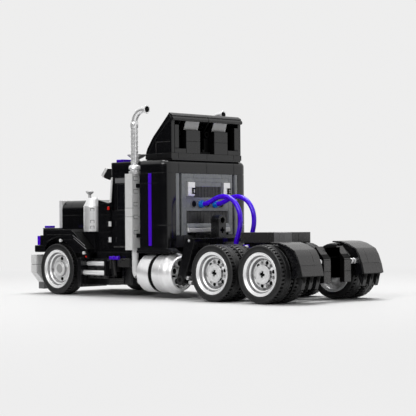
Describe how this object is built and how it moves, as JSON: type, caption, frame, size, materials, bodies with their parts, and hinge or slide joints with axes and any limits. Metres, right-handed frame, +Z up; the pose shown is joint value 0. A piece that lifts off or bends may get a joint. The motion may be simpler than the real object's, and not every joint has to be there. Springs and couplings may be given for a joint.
{
  "type": "toy semi truck tractor",
  "caption": "Clip-together toy tractor unit with a long nose, sleeper, roof fairing, twin stacks, tanks and dual rear wheels; the wheels roll and the cab doors open.",
  "frame": {"origin": "middle of the box around the truck, on the floor that the wheels stand on", "axes": "+X forward, +Y to the truck's left, +Z up"},
  "size_m": [0.299, 0.1146, 0.1533],
  "materials": {
    "black": "glossy black brick plastic",
    "dark_grey": "satin dark grey brick plastic",
    "light_grey": "light grey brick plastic",
    "silver": "drum lacquered silver plastic",
    "purple": "glossy purple brick plastic",
    "hose": "smooth soft purple tube",
    "blue": "glossy blue pin plastic",
    "tyre": "soft black rubber with treads",
    "clear": "clear plastic screen",
    "smoked": "smoked plastic pane"
  },
  "bodies": {
    "truck": {"chassis_frame": "black", "sleeper_shell": "black", "sleeper_skirts": "black", "roof_fairing": "black", "fairing_base": "black", "fairing_ribs": "black", "cab_shell": "black", "cab_roof": "black", "hood": "black", "front_fender_left": "black", "front_fender_right": "black", "side_box_left": "black", "side_box_right": "black", "quarter_arms": "black", "tank_bands": "black", "upright_beam": "black", "front_axle": "black", "hitch_deck": "dark_grey", "deck_corner_block": "dark_grey", "mudguard_left": "dark_grey", "mudguard_right": "dark_grey", "tail_bars": "dark_grey", "vent_grilles": "dark_grey", "back_panel": "light_grey", "panel_strips": "light_grey", "visor_plate": "light_grey", "roof_dishes": "light_grey", "hood_ornament": "light_grey", "radiator_grille": "light_grey", "front_bumper": "light_grey", "stack_shields": "light_grey", "stack_risers": "light_grey", "stack_pipes": "light_grey", "door_hinges": "light_grey", "air_cleaners": "silver", "fuel_tank_left": "silver", "fuel_tank_right": "silver", "step_rods": "silver", "panel_trim": "silver", "marker_lights": "purple", "sleeper_stripes": "purple", "hose_sockets": "purple", "hose_left": "hose", "hose_right": "hose", "hose_plugs": "blue", "windscreen": "clear"},
    "left_front_wheel": {"front_rim_left": "silver", "front_tyre_left": "tyre"},
    "right_front_wheel": {"front_rim_right": "silver", "front_tyre_right": "tyre"},
    "mid_wheelset": {"mid_axle_shaft": "black", "mid_axle_rims": "silver", "mid_axle_tyres": "tyre"},
    "rear_wheelset": {"rear_axle_shaft": "black", "rear_axle_rims": "silver", "rear_axle_tyres": "tyre"},
    "left_door": {"door_left": "black", "door_glass_left": "smoked"},
    "right_door": {"door_right": "black", "door_glass_right": "smoked"}
  },
  "joints": [
    {"name": "left_front_wheel_spin", "type": "hinge", "parent": "truck", "child": "left_front_wheel", "pos_m": [0.115, 0.0457, 0.0216], "axis": [0, 1, 0], "continuous": true},
    {"name": "right_front_wheel_spin", "type": "hinge", "parent": "truck", "child": "right_front_wheel", "pos_m": [0.115, -0.0457, 0.0216], "axis": [0, 1, 0], "continuous": true},
    {"name": "mid_axle_spin", "type": "hinge", "parent": "truck", "child": "mid_wheelset", "pos_m": [-0.069, 0, 0.0216], "axis": [0, 1, 0], "continuous": true},
    {"name": "rear_axle_spin", "type": "hinge", "parent": "truck", "child": "rear_wheelset", "pos_m": [-0.117, 0, 0.0216], "axis": [0, 1, 0], "continuous": true},
    {"name": "left_door_hinge", "type": "hinge", "parent": "truck", "child": "left_door", "pos_m": [0.0605, 0.042, 0.052], "axis": [0, 0, -1], "range_deg": [0, 62]},
    {"name": "right_door_hinge", "type": "hinge", "parent": "truck", "child": "right_door", "pos_m": [0.0605, -0.042, 0.052], "axis": [0, 0, 1], "range_deg": [0, 62]}
  ]
}
